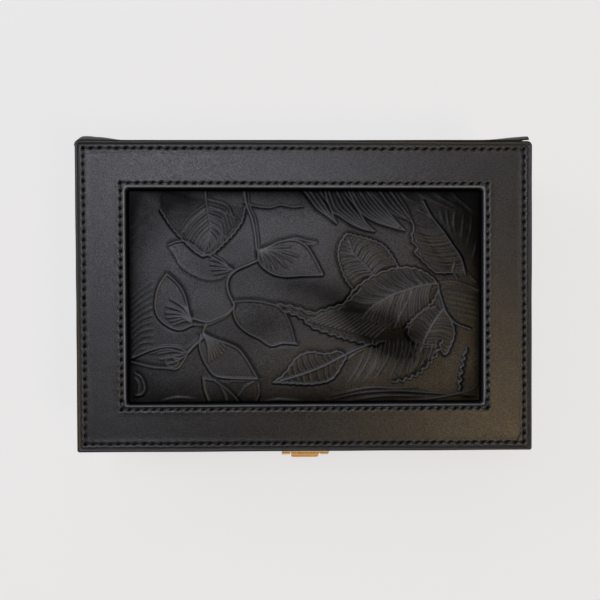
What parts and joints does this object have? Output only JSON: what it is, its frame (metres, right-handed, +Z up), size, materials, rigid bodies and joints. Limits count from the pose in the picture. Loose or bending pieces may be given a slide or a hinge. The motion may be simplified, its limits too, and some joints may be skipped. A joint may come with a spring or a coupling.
{
  "type": "jewelry box",
  "caption": "Rectangular leatherette jewelry box with a stitched, framed lid around a sunk embossed panel, a hinge strip along the back and a brass hasp on the front.",
  "frame": {"origin": "centre of the underside, on the surface the box stands on", "axes": "+X along the long side, to the right seen from the hasp; +Y towards the hinge; +Z up"},
  "size_m": [0.2, 0.1454, 0.0626],
  "materials": {
    "black_leatherette": "fine pebble grain, satin",
    "embossed_leatherette": "leaf embossed, semi-gloss",
    "thread": "twisted black thread",
    "underside_paper": "matt black paper felt",
    "board": "raw fibreboard",
    "foam": "open-cell foam",
    "velvet": "short-pile velvet",
    "mirror": "polished",
    "brass": "polished brass plate"
  },
  "bodies": {
    "base": {"body_cover": "black_leatherette", "underside_sheet": "underside_paper", "bottom_board": "board", "front_wall_board": "board", "back_wall_board": "board", "left_wall_board": "board", "right_wall_board": "board", "wall_lining": "velvet", "floor_lining": "velvet", "ring_bed": "velvet", "ring_rolls": "velvet", "main_divider": "velvet", "long_divider": "velvet", "short_divider": "velvet", "hinge_strip_lower": "black_leatherette", "inner_hinge_strip": "velvet", "catch_plate": "brass", "catch_nails": "brass"},
    "lid": {"lid_edge_wrap": "black_leatherette", "lid_back_board": "board", "frame_rail_front": "board", "frame_rail_back": "board", "frame_rail_left": "board", "frame_rail_right": "board", "border_foam": "foam", "lid_top_cover": "black_leatherette", "outer_stitching": "thread", "inner_stitching": "thread", "recess_lining": "black_leatherette", "panel_board": "board", "panel_foam": "foam", "embossed_panel": "embossed_leatherette", "lid_inner_pad": "velvet", "mirror": "mirror", "hinge_strip_upper": "black_leatherette", "hasp_plate": "brass", "hasp_pin": "brass", "hasp_nails": "brass"},
    "flap": {"hasp_flap": "brass"}
  },
  "joints": [
    {"name": "lid_hinge", "type": "hinge", "parent": "base", "child": "lid", "pos_m": [0, 0.069, 0.0502], "axis": [-1, 0, 0], "range_deg": [0, 105], "deforming": ["inner_hinge_strip"]},
    {"name": "hasp_flap", "type": "hinge", "parent": "lid", "child": "flap", "pos_m": [0, -0.06975, 0.0526], "axis": [-1, 0, 0], "range_deg": [0, 120]}
  ]
}
